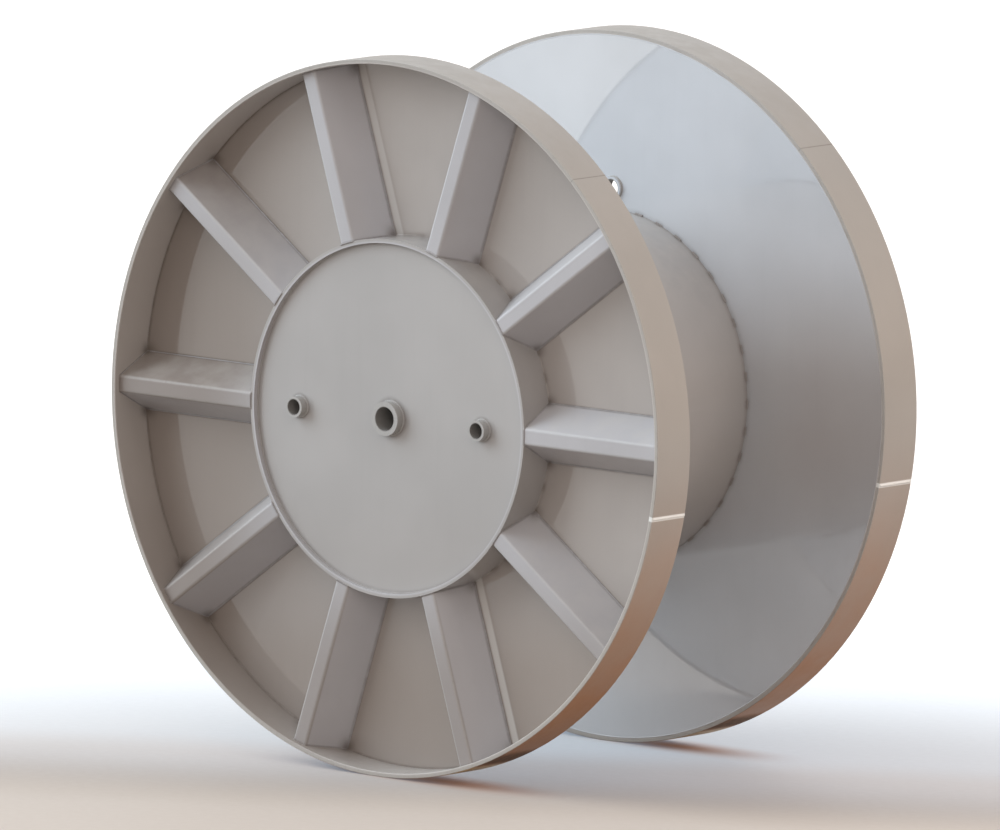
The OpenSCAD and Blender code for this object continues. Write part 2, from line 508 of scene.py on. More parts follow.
class PaintNodes:
    """The node tree of one painted finish, with the places on the drum that its masks use."""

    def __init__(self, name):
        self.material = bpy.data.materials.new(name)
        self.material.use_nodes = True
        self.tree = self.material.node_tree
        self.tree.nodes.clear()
        self.point = self.add("ShaderNodeTexCoord", out="Object")
        split = self.tree.nodes.new("ShaderNodeSeparateXYZ")
        self.tree.links.new(self.point.socket, split.inputs[0])
        self.x, self.y, self.z = (Wire(self.tree, socket) for socket in split.outputs)
        self.side = abs(self.y)
        self.radius = span(self.x, self.z)
        self.angle = self.z.math("ARCTAN2", self.x)

    def add(self, kind, settings=None, values=None, out=0):
        return Wire.node(self.tree, kind, settings, values, out)

    def noise(self, scale, detail=2.0, point=None, rough=0.5):
        values = {"Vector": point or self.point, "Scale": scale, "Detail": detail, "Roughness": rough}
        return self.add("ShaderNodeTexNoise", None, values)

    def around(self, along, across):
        """A point whose first part runs round the drum and whose second part runs across it."""
        return self.add("ShaderNodeCombineXYZ", None,
                        {"X": self.angle * along, "Y": self.y * across, "Z": self.radius * across})

    def from_spoke(self):
        """Distance from the middle line of the nearest spoke, measured across it."""
        turn = (self.angle / PITCH + 0.5).math("FRACT") - 0.5
        return abs((turn * PITCH).math("SINE") * self.radius)

    def near(self, value, place, reach):
        """1 where a value is at a place, 0 when it is further off than reach."""
        return abs(value - place).ramp(reach, 0.0)

    def upward(self):
        """1 on surfaces that face the sky."""
        normal = self.add("ShaderNodeNewGeometry", out="Normal")
        split = self.tree.nodes.new("ShaderNodeSeparateXYZ")
        self.tree.links.new(normal.socket, split.inputs[0])
        return Wire(self.tree, split.outputs[2]).ramp(0.35, 0.95)

    def from_drive(self):
        """Distance from the axis of the nearest drive sleeve."""
        return span(abs(self.x) - DRIVE_X, self.z)

    def from_cable(self):
        """Distance from the axis of the cable-end sleeve."""
        return span(self.x, self.z - CABLE_Z)


class PaintCoat:
    """Colour, roughness and gloss of a finish while its layers are laid on."""

    def __init__(self, tint, rough, gloss):
        self.tint = tint
        self.rough = rough
        self.gloss = gloss

    def lay(self, mask, colour, share=None, rough=None, dull=None):
        """Lays a colour over the paint where a mask is 1, and roughens and dulls the paint there."""
        amount = mask * share if share else mask
        self.tint = amount.blend(self.tint, tuple(colour))
        if rough:
            self.rough = self.rough + mask * rough
        if dull:
            self.gloss = self.gloss - mask * dull


def sprayed(name, colour, paint, grime=None, wear=None, dark=None, pale=None, scuff=None, second=None,
            film=None, painted_shade=None, gloss=None, worn=0.75, mirror=1.6, blur=0.03, dusty=0.28):
    """Grey sprayed paint with its clouds and specks, dust, dirt and wear, painted shade, highlights and
    reflections, orange peel and sheet waves.
    """
    nodes = PaintNodes(name)
    cloud = nodes.noise(CLOUDS, 3.0).ramp(0.30, 0.72)
    run_down = nodes.add("ShaderNodeMapping", None, {"Vector": nodes.point, "Scale": STREAKS})
    streak = nodes.noise(1.0, 3.0, run_down).ramp(0.52, 0.78)
    speck = nodes.noise(SPECKS, 1.0).ramp(0.60, 0.80)
    dust = nodes.upward() * nodes.noise(DUST_GRAINS, 4.0).ramp(0.25, 0.75)
    uneven = (nodes.noise(GLOSS_PATCHES, 3.0) - 0.5) * 0.16
    coat = PaintCoat(clouded(cloud, colour), paint.roughness + uneven + dust * 0.22 + streak * 0.05,
                     paint.clear - dust * 0.35)
    # For the insides of the hoops and the winding faces, the second colour is painted light: a lighter tone
    # standing in for light
    if second:
        place, other = second
        coat.tint = place(nodes).blend(coat.tint, clouded(cloud, other))
    # Painted shade: darker paint where less light falls
    if painted_shade:
        coat.lay(painted_shade(nodes), paint.painted_shade, share=PAINTED_SHADE_SHARE)
    # Painted reflections low on the rolling faces: the mirrored brown ground and the lit floor
    if film:
        coat.lay(film(nodes), paint.brown_reflection, dull=0.7)
        coat.lay(painted_floor_glint(nodes), paint.ochre_reflection)
    coat.tint = speck.shade(streak.shade(coat.tint, STREAK_SHADE), SPECK_SHADE)
    coat.lay(dust, paint.dust, share=dusty)
    if gloss:
        coat.gloss = coat.gloss * gloss(nodes)
    if scuff:
        coat.lay(scuff(nodes), Vector(colour) * 1.25, share=SCUFF_SHARE, rough=0.10, dull=0.20)
    if grime:
        dirt = grime(nodes) * nodes.noise(DIRT_GRAINS, 4.0, rough=0.55).ramp(-0.3, 0.7)
        coat.lay(dirt, paint.grime, share=GRIME_SHARE, rough=0.25, dull=0.4)
    # Rubbed paint, which on the hoops' edges and the spokes' bends is also a painted highlight
    if wear:
        chip = wear(nodes) * nodes.noise(CHIPS, 5.0, rough=0.6).ramp(0.18, 0.52)
        coat.lay(chip, paint.rubbed, share=worn, rough=0.10, dull=0.25)
    # Painted highlight: near-white lines over the hoops' seam beads and beside one diameter of spokes
    if pale:
        coat.lay(pale(nodes), paint.seam)
    # Painted shade: dark paint inside the tubes' bores
    if dark:
        coat.lay(dark(nodes), paint.bore_shade, rough=0.15, dull=0.7)
    waves = nodes.add("ShaderNodeBump", None, {
        "Strength": 0.5, "Distance": paint.wave * WAVE_STRETCH, "Height": nodes.noise(SHEET_WAVES, 1.5)})
    skin = nodes.add("ShaderNodeBump", None, {
        "Strength": 0.45, "Distance": paint.peel * PEEL_STRETCH, "Height": nodes.noise(PEEL_DIMPLES, 2.0),
        "Normal": waves})
    shader = nodes.add("ShaderNodeBsdfPrincipled", None, {
        "Base Color": coat.tint, "Roughness": coat.rough, "Coat Weight": coat.gloss, "Normal": skin,
        "Coat Roughness": blur, "Coat IOR": mirror, "Specular IOR Level": 0.4})
    nodes.add("ShaderNodeOutputMaterial", None, {"Surface": shader})
    return nodes.material


def rolling_face(nodes):
    """The outside of the hoops, on which the drum rolls."""
    return nodes.radius.ramp(*ROLLING_FACE)


def painted_floor_glint(nodes):
    """Painted reflection: an ochre patch of the lit floor mirrored by the rolling faces."""
    mark = nodes.near(nodes.angle, GLINT_ANGLE, MARK_REACH).ramp(0.1, 0.7)
    return mark * rolling_face(nodes) * GLINT_SHARE


def painted_dark_band(nodes):
    """Painted reflection: a dark band of the mirrored floor shadow on the rolling faces, above the ochre
    patch.
    """
    mark = nodes.near(nodes.angle, DARK_BAND_ANGLE, MARK_REACH).ramp(0.1, 0.9)
    return mark * rolling_face(nodes) * DARK_BAND_SHARE


def stitch_spots(nodes):
    """Darker spots, one at each stitch weld of the barrel."""
    turn = (nodes.angle * (STITCHES / (2 * math.pi)) + 0.5).math("FRACT") - 0.5
    return abs(turn).ramp(0.30, 0.05) * 0.55 + 0.45


def foot_corners(nodes):
    """Darker blots in the corners where the feet of the spokes meet the barrel and the hoop."""
    inner = nodes.radius.ramp(BARREL_R + CORNER_BY_BARREL, BARREL_R)
    outer = nodes.radius.ramp(WEB_R - CORNER_BY_HOOP, WEB_R)
    return nodes.near(nodes.from_spoke(), SPOKE_FOOT, CORNER_DARK_REACH) * inner.highest(outer) * CORNER_SHARE


def web_grime(nodes):
    """Dirt at the foot of the spokes, along the barrel and along the hoop."""
    bay = nodes.side.ramp(*BAY_FACE)
    foot = nodes.near(nodes.from_spoke(), SPOKE_FOOT, FOOT_DIRT) * bay
    barrel = nodes.radius.ramp(BARREL_R + BARREL_DIRT, BARREL_R) * stitch_spots(nodes)
    hoop = nodes.radius.ramp(WEB_R - HOOP_DIRT, WEB_R) * bay
    return foot.highest(barrel).highest(hoop).highest(foot_corners(nodes) * bay)


def highlight_strip(nodes):
    """Painted highlight: a pale strip on the webs beside the spokes of one diameter, stronger towards the
    bottom.
    """
    across = nodes.z * math.cos(STRIP_HIGHLIGHT_ANGLE) - nodes.x * math.sin(STRIP_HIGHLIGHT_ANGLE)
    strip = nodes.near(across, SPOKE_FOOT + STRIP_HIGHLIGHT_OFF, STRIP_HIGHLIGHT_HALF).ramp(0.1, 0.7)
    return strip * nodes.side.ramp(*PLATE_SKIN) * (0.42 - nodes.z * 0.06)


def winding_face(nodes):
    """The side of a web that faces the cable."""
    return nodes.side.ramp(*WINDING_FACE)


def painted_shade_left_low(nodes):
    """Painted shade: the left and lower part of a flange, painted darker where less light falls."""
    return nodes.x.ramp(*PAINTED_SHADE_LEFT).highest(nodes.z.ramp(*PAINTED_SHADE_LOW) * LOW_SHARE)


def hoop_inside(nodes):
    """The inside of the hoops."""
    return nodes.radius.ramp(*HOOP_INSIDE)


def hoop_painted_shade(nodes):
    """Painted shade: darker paint low on the left inside the hoops."""
    return hoop_inside(nodes) * nodes.x.ramp(*HOOP_SHADE_LEFT) * nodes.z.ramp(*HOOP_SHADE_LOW)


def disc_painted_shade(nodes):
    """Painted shade: the end discs painted darker towards the bottom."""
    return nodes.z.ramp(*DISC_SHADE_LOW) * DISC_SHARE


def spoke_painted_shade(nodes):
    """Painted shade: darker paint on the fronts and the upper flanks of the spokes on the left and low."""
    front = nodes.side.ramp(*SPOKE_FLAT) * nodes.z.ramp(*SPOKE_SHADE_LOW)
    return painted_shade_left_low(nodes) * front.highest(nodes.upward() * FLANK_SHARE)


def web_painted_shade(nodes):
    """Painted shade: darker paint between the spokes on the left and low, and a darker band on the winding
    faces to the right, about the middle.
    """
    wound = winding_face(nodes)
    # Painted shade on the winding faces, to the right and about the middle
    rubbed = nodes.x.ramp(*WINDING_SHADE_RIGHT) * abs(nodes.z).ramp(*WINDING_SHADE_MIDDLE)
    return wound * rubbed * WINDING_SHADE_SHARE + (1.0 - wound) * painted_shade_left_low(nodes)


def spoke_gloss(nodes):
    """The thin dull film of the spokes."""
    return SPOKE_FILM


def web_gloss(nodes):
    """Full gloss on the winding faces, a duller film between the spokes."""
    return winding_face(nodes) * (1.0 - BAY_FILM) + BAY_FILM


def low_brown_reflection(nodes):
    """Painted reflection: a brown of the mirrored ground that thickens towards the floor on the rolling
    faces.
    """
    low = nodes.z.ramp(*REFLECTION_LOW)
    bottom = nodes.z.ramp(*REFLECTION_BOTTOM) * 0.7 + 1.0
    return rolling_face(nodes) * low * bottom * (nodes.noise(REFLECTION_PATCHES, 4.0) * 0.5 + 0.52)


def barrel_grime(nodes):
    """Dirt where the barrel passes through the webs."""
    return nodes.near(nodes.side, WEB_INSIDE - 0.002, BARREL_DIRT) * stitch_spots(nodes)


def barrel_mouth(nodes):
    """The inside of the barrel, of which the lips round the end discs are seen."""
    return nodes.radius.ramp(*BARREL_MOUTH)


def disc_grime(nodes):
    """Dirt in the corner of the disc and round its tubes."""
    lip = nodes.radius.ramp(DISC_R - LIP_DIRT, DISC_R) * LIP_SHARE
    spindle = nodes.radius.ramp(SPINDLE_R + SPINDLE_DIRT, SPINDLE_R)
    drive = nodes.from_drive().ramp(DRIVE_R + DRIVE_DIRT, DRIVE_R)
    return lip.highest(spindle).highest(drive)


def hoop_grime(nodes):
    """Dirt inside the hoop, along the web and by the feet of the spokes."""
    line = nodes.near(nodes.side, WEB_OUTSIDE, HOOP_LINE)
    blot = nodes.near(nodes.side, WEB_OUTSIDE, CORNER_DARK_REACH) * foot_corners(nodes)
    return line.highest(blot) * hoop_inside(nodes)


def spoke_grime(nodes):
    """Dirt along the feet and at both ends of a spoke."""
    foot = nodes.side.ramp(WEB_OUTSIDE + SPOKE_DIRT, WEB_OUTSIDE)
    inner = nodes.radius.ramp(BARREL_R + SPOKE_END_DIRT, BARREL_R)
    outer = nodes.radius.ramp(WEB_R - SPOKE_END_DIRT, WEB_R)
    blot = nodes.side.ramp(WEB_OUTSIDE + CORNER_DARK_REACH, WEB_OUTSIDE) * foot_corners(nodes)
    return foot.highest(inner).highest(outer).highest(blot)


def hoop_wear_and_highlight(nodes):
    """Rubbed paint on the edges of the hoop, which is also a painted highlight along them."""
    return nodes.side.ramp(*HOOP_FRONT).highest(nodes.side.ramp(*HOOP_BACK))


def barrel_wear(nodes):
    """Rubbed paint on the end of the barrel."""
    return nodes.side.ramp(*BARREL_LIP)


def spoke_wear_and_highlight(nodes):
    """Rubbed paint on the two bends of a spoke, which is also a painted highlight along them."""
    bend = nodes.near(nodes.from_spoke(), SPOKE_FRONT - 0.001, BEND_WEAR_AND_HIGHLIGHT)
    return bend * nodes.side.ramp(*SPOKE_BENDS)


def tube_wear(nodes):
    """Rubbed paint on the ends of the tubes."""
    return nodes.side.ramp(*TUBE_ENDS)


def rolling_scuff(nodes):
    """Fine scratches that run round the rolling face of the hoops."""
    along = nodes.around(SCRATCHES_ROUND, SCRATCHES_ACROSS)
    lines = nodes.noise(1.0, 4.0, along, rough=0.62).ramp(0.50, 0.74)
    patch = nodes.noise(SCUFF_PATCHES, 2.0).ramp(0.40, 0.66)
    return rolling_face(nodes) * lines * patch


def tube_bores(nodes):
    """The insides of the spindle tube and the sleeves."""
    skin = 0.4 * BORE_SKIN
    spindle = nodes.radius.ramp(SPINDLE_BORE + BORE_SKIN, SPINDLE_BORE + skin)
    drive = nodes.from_drive().ramp(DRIVE_BORE + BORE_SKIN, DRIVE_BORE + skin)
    cable = nodes.from_cable().ramp(CABLE_BORE + BORE_SKIN, CABLE_BORE + skin)
    return spindle.highest(drive).highest(cable)


def dress(material, *names):
    """Gives CAD nodes a finish and leaves their meshes as they are."""
    for name in names:
        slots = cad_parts[name].material_slots
        if not len(slots):
            raise RuntimeError(f"{name} has no material slot")
        for slot in slots:
            slot.material = material


def weld_tree():
    """Geometry nodes that lay a rippled bead along every path."""
    tree = bpy.data.node_groups.new("weld_bead", "GeometryNodeTree")
    tree.interface.new_socket("Path", in_out="INPUT", socket_type="NodeSocketGeometry")
    for name in ("Bead radius", "Ripple length", "Ripple depth", "Seed"):
        tree.interface.new_socket(name, in_out="INPUT", socket_type="NodeSocketFloat")
    tree.interface.new_socket("Finish", in_out="INPUT", socket_type="NodeSocketMaterial")
    tree.interface.new_socket("Bead", in_out="OUTPUT", socket_type="NodeSocketGeometry")

    def add(kind, settings=None, values=None, out=0):
        return Wire.node(tree, kind, settings, values, out)

    entry = tree.nodes.new("NodeGroupInput")
    path, size, length, depth, seed, finish = (Wire(tree, socket) for socket in entry.outputs[:6])
    curve = add("GeometryNodeMeshToCurve", None, {"Mesh": path})
    fine = add("GeometryNodeResampleCurve", {"mode": "LENGTH"}, {"Curve": curve, "Length": length / 3.0})
    run = add("GeometryNodeSplineParameter", out="Length")
    saw = (run / length).math("FRACT")
    place = add("GeometryNodeInputPosition")
    uneven = add("ShaderNodeTexNoise", {"noise_dimensions": "4D"},
                 {"Vector": place, "W": seed, "Scale": BEAD_LUMPS, "Detail": 1.0})
    girth = 1.0 - saw * saw * depth + (uneven - 0.5) * 0.24
    round_section = add("GeometryNodeCurvePrimitiveCircle", None, {"Resolution": 7, "Radius": size})
    bead = add("GeometryNodeCurveToMesh", None,
               {"Curve": fine, "Profile Curve": round_section, "Scale": girth, "Fill Caps": True})
    smooth = add("GeometryNodeSetShadeSmooth", None, {"Geometry": bead})
    real = add("GeometryNodeRealizeInstances", None, {"Geometry": smooth})
    painted = add("GeometryNodeSetMaterial", None, {"Geometry": real, "Material": finish})
    leave = tree.nodes.new("NodeGroupOutput")
    tree.links.new(painted.socket, leave.inputs[0])
    return tree


def lay_bead(name, paths, size, material, seed):
    """Turns point lists, each open or closed, into one piece of weld bead."""
    welds = bpy.context.scene.drum_welds
    mesh = bpy.data.meshes.new(f"{name}_path")
    points, edges = [], []
    for line, closed in paths:
        first = len(points)
        points.extend(line)
        edges.extend((first + i, first + i + 1) for i in range(len(line) - 1))
        if closed:
            edges.append((len(points) - 1, first))
    mesh.from_pydata(points, edges, [])
    guide = bpy.data.objects.new(f"{name}_path", mesh)
    bpy.context.scene.collection.objects.link(guide)
    tree = bpy.data.node_groups.get("weld_bead") or weld_tree()
    layer = guide.modifiers.new("weld", "NODES")
    layer.node_group = tree
    wanted = {"Bead radius": size, "Ripple length": welds.ripple, "Ripple depth": welds.ripple_depth,
              "Seed": seed, "Finish": material}
    for item in tree.interface.items_tree:
        if item.in_out == "INPUT" and item.name in wanted:
            layer[item.identifier] = wanted[item.name]
    bpy.context.view_layer.update()
    graph = bpy.context.evaluated_depsgraph_get()
    bead = bpy.data.meshes.new_from_object(guide.evaluated_get(graph))
    guide.modifiers.remove(layer)
    bpy.data.objects.remove(guide)
    shape = bmesh.new()
    shape.from_mesh(bead)
    bmesh.ops.remove_doubles(shape, verts=shape.verts, dist=1e-6)
    bmesh.ops.recalc_face_normals(shape, faces=shape.faces)
    shape.to_mesh(bead)
    shape.free()
    if not bead.polygons:
        raise RuntimeError(f"{name} came out empty")
    bead.name = name
    piece = bpy.data.objects.new(name, bead)
    bpy.context.scene.collection.objects.link(piece)
    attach(piece, BODY)
    return piece


def on_drum(radius, angle, y):
    return (radius * math.cos(angle), y, radius * math.sin(angle))


def arc(radius, y, start, stop, step=0.012):
    """Points round the drum's axis from one angle to another."""
    count = max(3, int(abs(stop - start) * radius / step))
    return [on_drum(radius, start + (stop - start) * i / count, y) for i in range(count + 1)]


def loop(radius, y, x=0.0, z=0.0, step=0.008):
    """A closed ring of points about an axis along Y."""
    count = max(24, int(2 * math.pi * radius / step))
    turns = (2 * math.pi * i / count for i in range(count))
    return [(x + radius * math.cos(a), y, z + radius * math.sin(a)) for a in turns]


def at_spoke(index, radius, across, y):
    """A point on the cylinder of a radius, a distance across from a spoke's middle line."""
    lean = math.asin(across / radius)
    return on_drum(radius, index * PITCH + lean, y)


def spoke_end(index, radius, sign):
    """The outline in which a folded spoke meets the hoop or the barrel."""
    corners = [(-SPOKE_FOOT, WEB_OUTSIDE), (-SPOKE_FRONT, SPOKE_FACE),
               (SPOKE_FRONT, SPOKE_FACE), (SPOKE_FOOT, WEB_OUTSIDE)]
    steps = 10
    line = []
    for (t0, y0), (t1, y1) in zip(corners, corners[1:]):
        for i in range(steps):
            k = i / steps
            line.append(at_spoke(index, radius, t0 + (t1 - t0) * k, sign * (y0 + (y1 - y0) * k)))
    line.append(at_spoke(index, radius, SPOKE_FOOT, sign * WEB_OUTSIDE))
    return line


def spoke_foot(index, across, sign, steps=24):
    """The line in which one foot of a spoke meets the web."""
    turn = index * PITCH
    along = Vector((math.cos(turn), 0.0, math.sin(turn)))
    over = Vector((-math.sin(turn), 0.0, math.cos(turn)))
    inner = math.sqrt(BARREL_R ** 2 - across ** 2)
    outer = math.sqrt(WEB_R ** 2 - across ** 2)
    line = []
    for i in range(steps + 1):
        point = along * (inner + (outer - inner) * i / steps) + over * across
        line.append((point.x, sign * WEB_OUTSIDE, point.z))
    return line


def bay_arcs(radius, sign):
    """The arcs between the spokes at a radius on the web's outer face."""
    half = math.asin(SPOKE_FOOT / radius)
    y = sign * WEB_OUTSIDE
    return [(arc(radius, y, i * PITCH + half, (i + 1) * PITCH - half), False) for i in range(SPOKES)]


class DRUM_OT_hoops(bpy.types.Operator):
    """Paint the two rolled hoops and lay their seams"""

    bl_idname = "drum.hoops"
    bl_label = "Rim hoops"

    def execute(self, context):
        paint = context.scene.drum_paint
        welds = context.scene.drum_welds

        # Painted highlight: a near-white line across the hoops over the seam bead
        def seam_highlight(nodes):
            return nodes.near(nodes.angle, welds.seam_angle, SEAM_HIGHLIGHT_REACH).ramp(0.15, 0.6)

        # Dirt inside the hoops and along the ground seam, with the painted dark band of mirrored shadow
        def grime_and_dark_band(nodes):
            line = nodes.near(nodes.angle, welds.flush_angle, FLUSH_SEAM_REACH)
            return hoop_grime(nodes).highest(line).highest(painted_dark_band(nodes))

        # The hoops get a lighter inside and painted shade, a painted highlight over the seam and painted
        # reflections low on the rolling faces
        finish = sprayed("hoop_finish", paint.hoop, paint, grime=grime_and_dark_band, wear=hoop_wear_and_highlight, pale=seam_highlight,
                         scuff=rolling_scuff, film=low_brown_reflection, painted_shade=hoop_painted_shade,
                         second=(hoop_inside, paint.hoop_inside), worn=0.26, blur=0.34, dusty=0.10)
        dress(finish, "rim_hoop_near", "rim_hoop_far")
        lines = []
        radius = RIM_R - HOOP_SEAM_SINK
        steps = 20
        for sign in SIDES.values():
            inner = sign * (WEB_INSIDE + HOOP_SEAM_MARGIN)
            outer = sign * (RIM_END - HOOP_SEAM_MARGIN)
            line = [on_drum(radius, welds.seam_angle, inner + (outer - inner) * i / steps)
                    for i in range(steps + 1)]
            lines.append((line, False))
        lay_bead("weld_hoop_seams", lines, welds.hoop_seam, finish, 1.0)
        return {"FINISHED"}


class DRUM_OT_webs(bpy.types.Operator):
    """Paint the two web plates and weld them into the hoops"""

    bl_idname = "drum.webs"
    bl_label = "Web plates"

    def execute(self, context):
        paint = context.scene.drum_paint
        welds = context.scene.drum_welds
        # The winding faces are painted lighter as painted light; the bays get painted shade and a painted
        # highlight strip
        finish = sprayed("web_finish", paint.web, paint, grime=web_grime,
                         second=(winding_face, paint.web_inside_lit), painted_shade=web_painted_shade,
                         pale=highlight_strip, gloss=web_gloss, mirror=3.0)
        dress(finish, "web_plate_near", "web_plate_far")
        for name, sign in SIDES.items():
            lines = bay_arcs(WEB_R, sign) + bay_arcs(BARREL_R, sign)
            lay_bead(f"weld_web_{name}", lines, welds.fillet, finish, 2.0 + sign)
        flush = [(loop(WEB_R, sign * (WEB_INSIDE + EDGE_WELD_INSET)), True) for sign in SIDES.values()]
        lay_bead("weld_web_edges", flush, welds.web_edge, finish, 5.0)
        return {"FINISHED"}


class DRUM_OT_barrel(bpy.types.Operator):
    """Paint the barrel and stitch it to the webs"""

    bl_idname = "drum.barrel"
    bl_label = "Barrel"

    def execute(self, context):
        paint = context.scene.drum_paint
        welds = context.scene.drum_welds
        finish = sprayed("barrel_finish", paint.barrel, paint, grime=barrel_grime, wear=barrel_wear,
                         second=(barrel_mouth, paint.spoke), worn=0.06, mirror=1.4)
        dress(finish, "barrel_tube")
        half = welds.stitch_length / 2 / BARREL_R
        stitches = []
        for sign in SIDES.values():
            for i in range(welds.stitch_count):
                turn = 2 * math.pi * i / welds.stitch_count
                stitch = arc(BARREL_R, sign * WEB_INSIDE, turn - half, turn + half, STITCH_STEP)
                stitches.append((stitch, False))
        lay_bead("weld_stitches", stitches, welds.stitch, finish, 7.0)
        radius = BARREL_R - LONG_SEAM_SINK
        steps = 60
        seam = [on_drum(radius, LONG_SEAM_ANGLE, -LONG_SEAM_HALF + 2 * LONG_SEAM_HALF * i / steps)
                for i in range(steps + 1)]
        lay_bead("weld_barrel_seam", [(seam, False)], welds.long_seam, finish, 9.0)
        return {"FINISHED"}


class DRUM_OT_discs(bpy.types.Operator):
    """Paint the end discs and weld them into the barrel"""

    bl_idname = "drum.discs"
    bl_label = "End discs"

    def execute(self, context):
        paint = context.scene.drum_paint
        welds = context.scene.drum_welds
        # The discs get painted shade towards the bottom
        finish = sprayed("disc_finish", paint.disc, paint, grime=disc_grime, painted_shade=disc_painted_shade)
        dress(finish, "end_disc_near", "end_disc_far")
        rings = [(loop(DISC_R, sign * DISC_FACE), True) for sign in SIDES.values()]
        lay_bead("weld_discs", rings, welds.ring, finish, 11.0)
        return {"FINISHED"}


class DRUM_OT_tubes(bpy.types.Operator):
    """Paint the spindle tube and the sleeves and weld them in"""

    bl_idname = "drum.tubes"
    bl_label = "Spindle tube and sleeves"

    def execute(self, context):
        paint = context.scene.drum_paint
        welds = context.scene.drum_welds
        # The tubes' bores are painted dark as painted shade
        finish = sprayed("tube_finish", paint.hub, paint, wear=tube_wear, dark=tube_bores, worn=0.25)
        dress(finish, "spindle_tube", *(
            f"drive_sleeve_{flange}_{hand}" for flange in SIDES for hand in ("left", "right")))
        # The cable sleeve takes the winding faces' lighter paint, which is painted light
        dress(sprayed("cable_sleeve_finish", paint.web_inside_lit, paint, dark=tube_bores), "cable_end_sleeve")
        rings = []
        for sign in SIDES.values():
            rings.append((loop(SPINDLE_R, sign * DISC_FACE, step=BEAD_RING_STEP), True))
            for x in (-DRIVE_X, DRIVE_X):
                rings.append((loop(DRIVE_R, sign * DISC_FACE, x=x, step=BEAD_RING_STEP), True))
        for y in (WEB_INSIDE, WEB_OUTSIDE):
            rings.append((loop(CABLE_R, y, z=CABLE_Z, step=BEAD_RING_STEP), True))
        lay_bead("weld_tubes", rings, welds.ring, finish, 13.0)
        return {"FINISHED"}


class DRUM_OT_spokes(bpy.types.Operator):
    """Paint the folded spokes and weld their feet and ends"""

    bl_idname = "drum.spokes"
    bl_label = "Folded spokes"

    def execute(self, context):
        paint = context.scene.drum_paint
        welds = context.scene.drum_welds
        finish = sprayed("spoke_finish", paint.spoke, paint, grime=spoke_grime, wear=spoke_wear_and_highlight,
                         painted_shade=spoke_painted_shade, gloss=spoke_gloss, worn=0.2)
        dress(finish, *(f"spoke_{flange}_{i + 1:02d}" for flange in SIDES for i in range(SPOKES)))
        for name, sign in SIDES.items():
            lines = []
            for i in range(SPOKES):
                lines.append((spoke_foot(i, SPOKE_FOOT, sign), False))
                lines.append((spoke_foot(i, -SPOKE_FOOT, sign), False))
                lines.append((spoke_end(i, BARREL_R, sign), False))
                lines.append((spoke_end(i, WEB_R, sign), False))
            lay_bead(f"weld_spokes_{name}", lines, welds.fillet, finish, 15.0 + sign)
        return {"FINISHED"}


